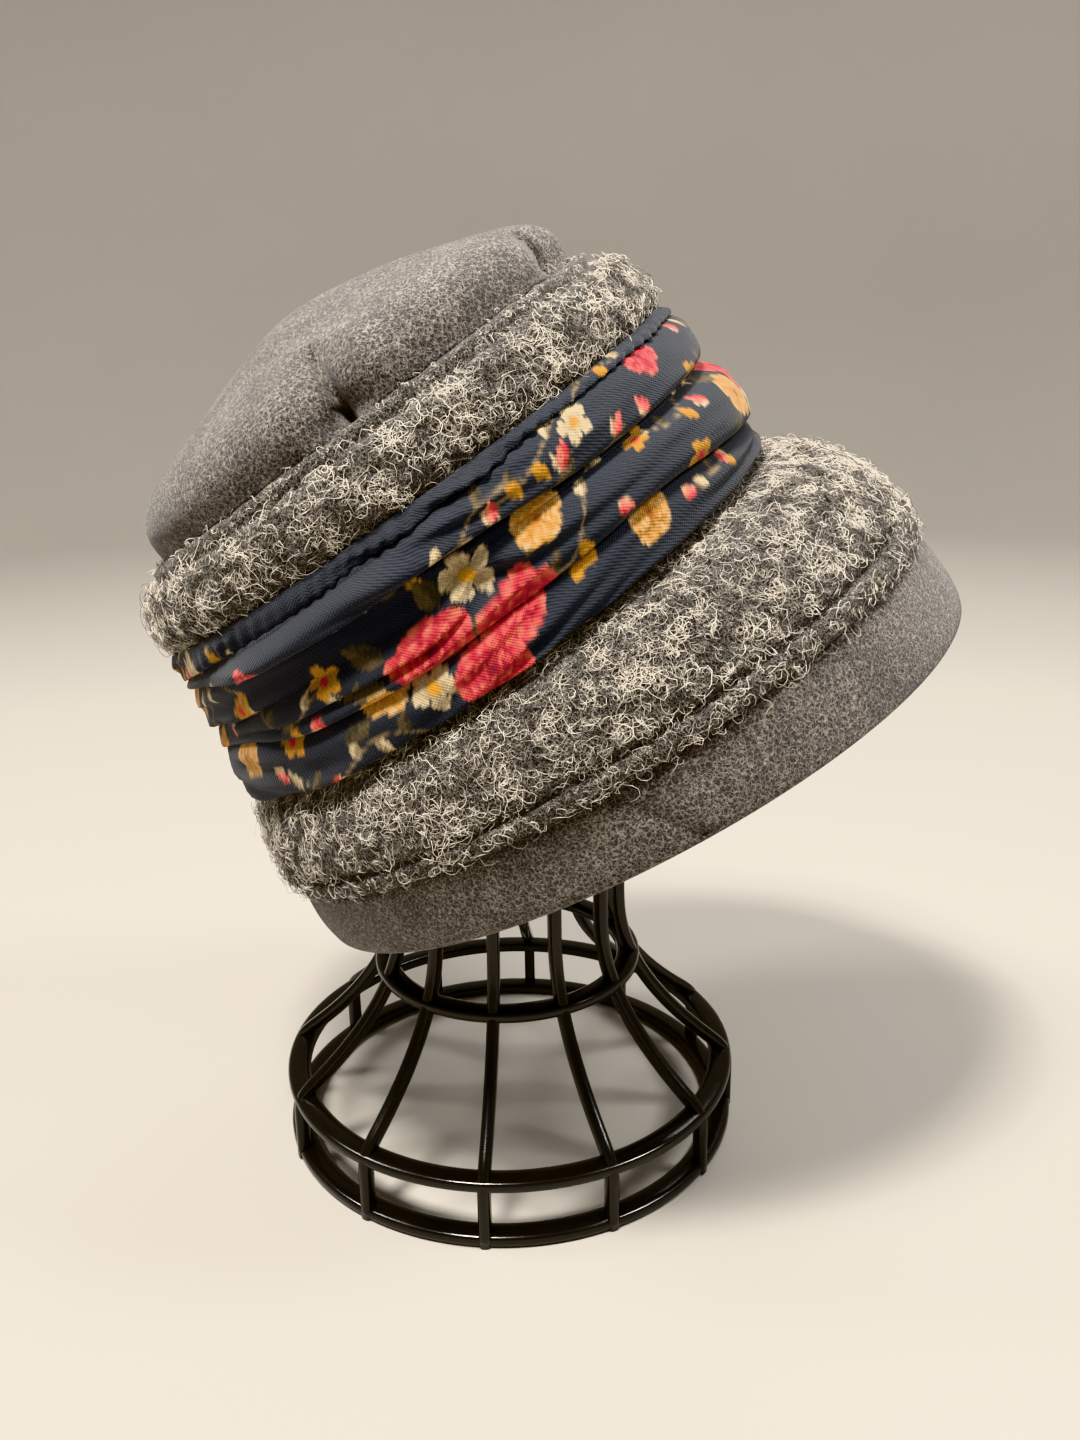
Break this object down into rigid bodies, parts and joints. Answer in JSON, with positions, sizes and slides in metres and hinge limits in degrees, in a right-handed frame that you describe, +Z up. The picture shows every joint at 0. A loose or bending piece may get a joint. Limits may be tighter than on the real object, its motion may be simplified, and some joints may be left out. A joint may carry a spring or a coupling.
{
  "type": "cloche hat on a lattice stand",
  "caption": "Wool cloche hat with a boucle side and brim and a ruched floral band, tilted on the open lattice stand that carries it.",
  "frame": {"origin": "middle of the bounding box's bottom, on the surface that the stand rests on", "axes": "+Z up, +X towards the front of the brim, which is tilted up, +Y to the wearer's left"},
  "size_m": [0.2736, 0.2182, 0.3253],
  "materials": {
    "melton": "mid grey melton wool, felted, with pale flecks",
    "boucle": "grey boucle with curly cream and dark fibres",
    "floral_cloth": "navy twill printed with roses, buds and leaves",
    "black_plastic": "satin gloss black, slightly brown"
  },
  "bodies": {
    "root": {"crown_tip": "melton", "crown_side": "boucle", "floral_band": "floral_cloth", "brim": "boucle", "brim_hem": "melton", "base_ring": "black_plastic", "shoulder_ring": "black_plastic", "neck_ring": "black_plastic", "globe_cap": "black_plastic", "rib_01": "black_plastic", "rib_02": "black_plastic", "rib_03": "black_plastic", "rib_04": "black_plastic", "rib_05": "black_plastic", "rib_06": "black_plastic", "rib_07": "black_plastic", "rib_08": "black_plastic", "rib_09": "black_plastic", "rib_10": "black_plastic", "rib_11": "black_plastic", "rib_12": "black_plastic"}
  },
  "joints": []
}
